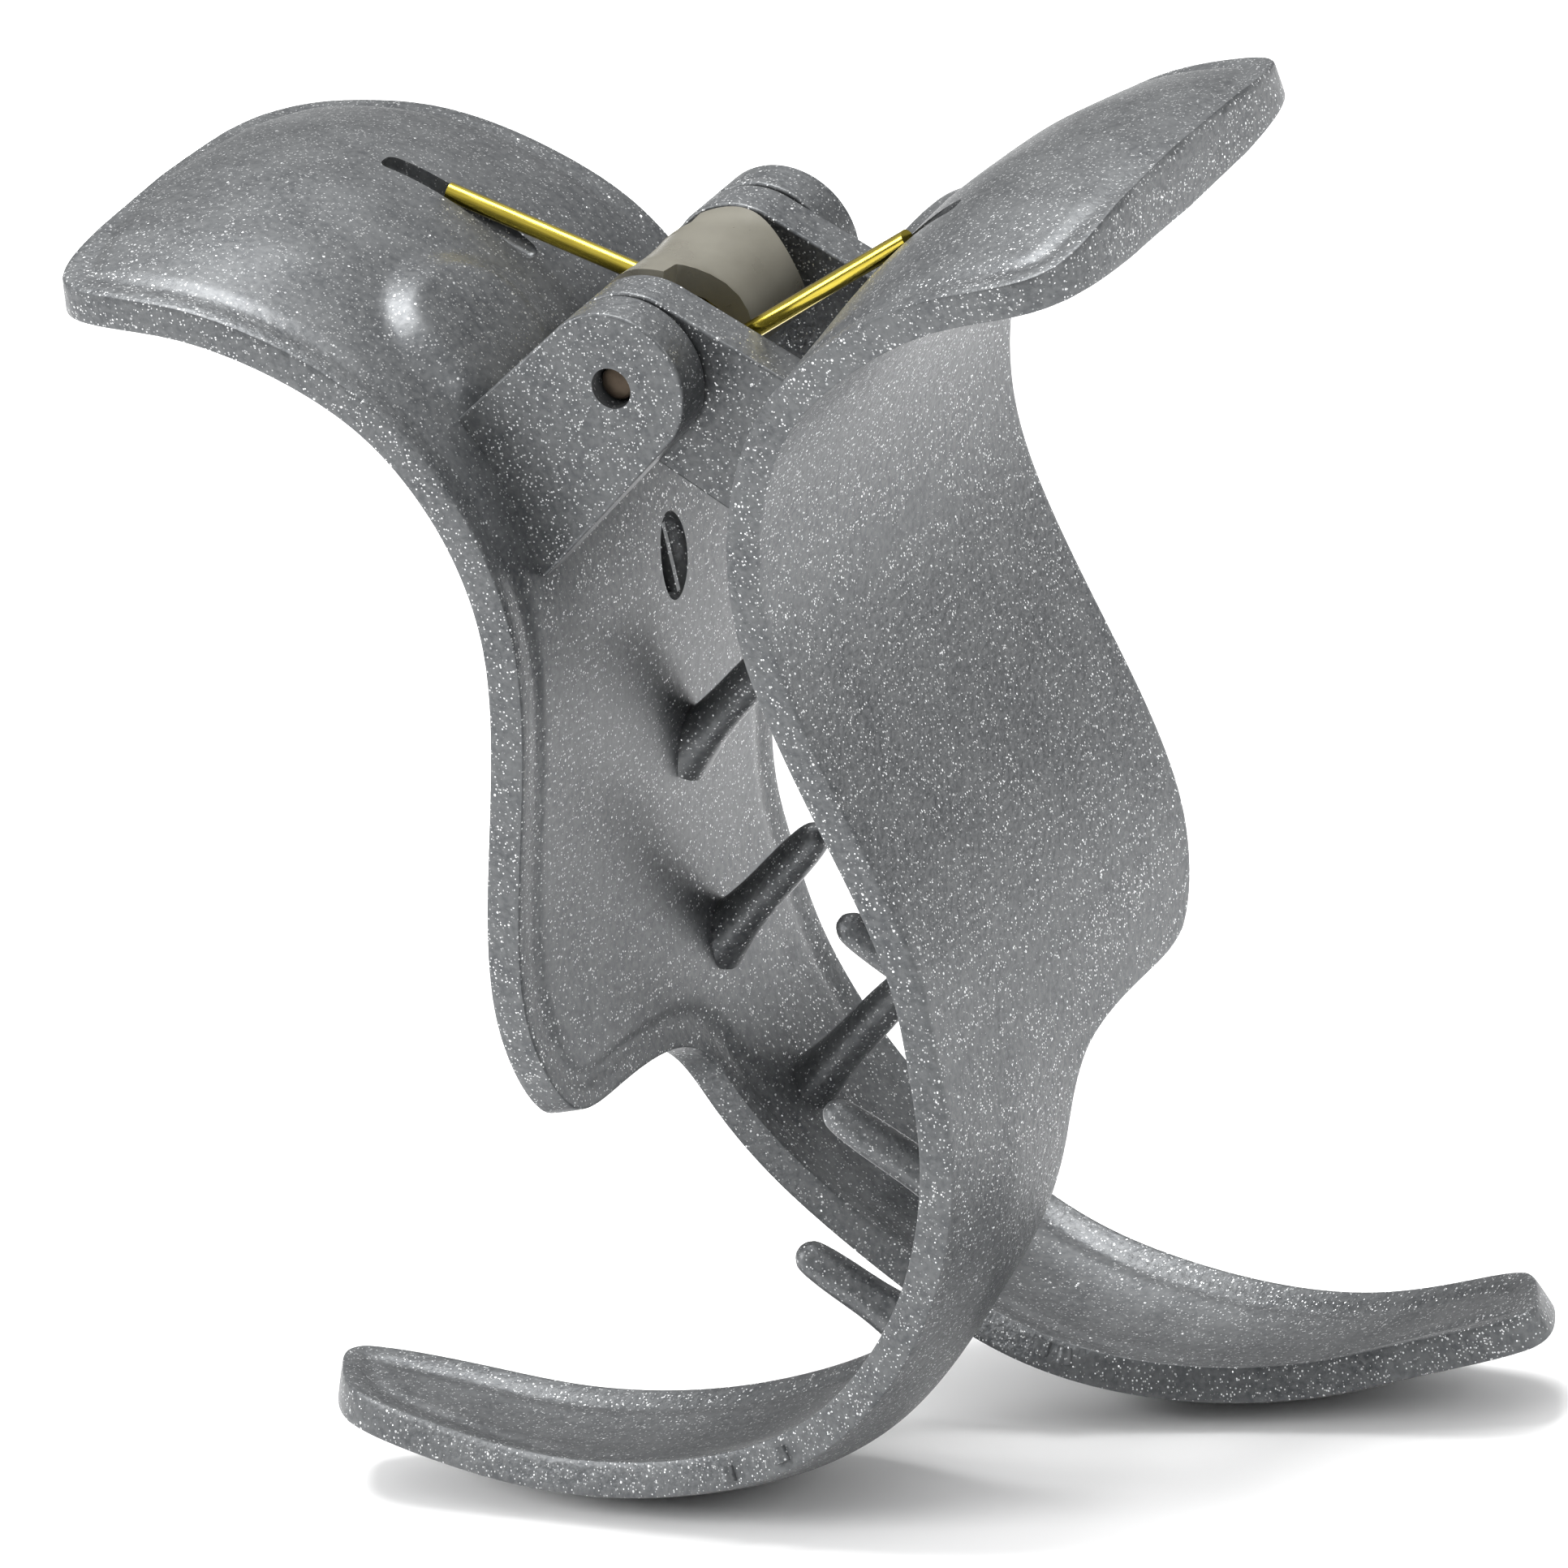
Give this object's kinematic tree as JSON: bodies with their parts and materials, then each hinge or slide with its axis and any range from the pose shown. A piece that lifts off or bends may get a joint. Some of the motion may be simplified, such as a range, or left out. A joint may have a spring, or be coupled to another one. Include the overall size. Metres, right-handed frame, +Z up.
{
  "type": "hair claw clip",
  "caption": "Large sparkle-plastic hair claw clip: two curved jaws with inner teeth and crossing tails, hinged on a pin and closed by a covered torsion spring.",
  "frame": {"origin": "on the ground under the middle of the hinge, at the level of the lowest point of the two crossed tails", "axes": "+Z up through the middle of the hinge, the clip standing closed on its tails; +Y along the hinge pin, away from the viewer; +X towards the right jaw's handle"},
  "size_m": [0.0838, 0.038, 0.0865],
  "materials": {
    "sparkle_plastic_left": "silver-grey moulding full of fine sparkle flakes",
    "sparkle_plastic_right": "silver-grey moulding full of fine sparkle flakes",
    "pin_steel": "plain drawn wire",
    "gilt_wire": "bright gilt",
    "cover_plastic": "smoky translucent sleeve"
  },
  "bodies": {
    "left": {"left_jaw": "sparkle_plastic_left", "hinge_pin": "pin_steel", "torsion_spring": "gilt_wire"},
    "right": {"right_jaw": "sparkle_plastic_right"},
    "cover": {"spring_cover": "cover_plastic"}
  },
  "joints": [
    {"name": "jaw_hinge", "type": "hinge", "parent": "left", "child": "right", "pos_m": [0, 0, 0.07565], "axis": [0, -1, 0], "range_deg": [0, 120], "stiffness_Nm_per_rad": 0.12, "springref_deg": -40.11, "deforming": ["torsion_spring"]},
    {"name": "cover_turn", "type": "hinge", "parent": "left", "child": "cover", "pos_m": [0, 0, 0.07565], "axis": [0, -1, 0], "range_deg": [0, 60]}
  ],
  "couplings": [
    {"joint": "cover_turn", "follows": "jaw_hinge", "ratio": 0.5}
  ]
}
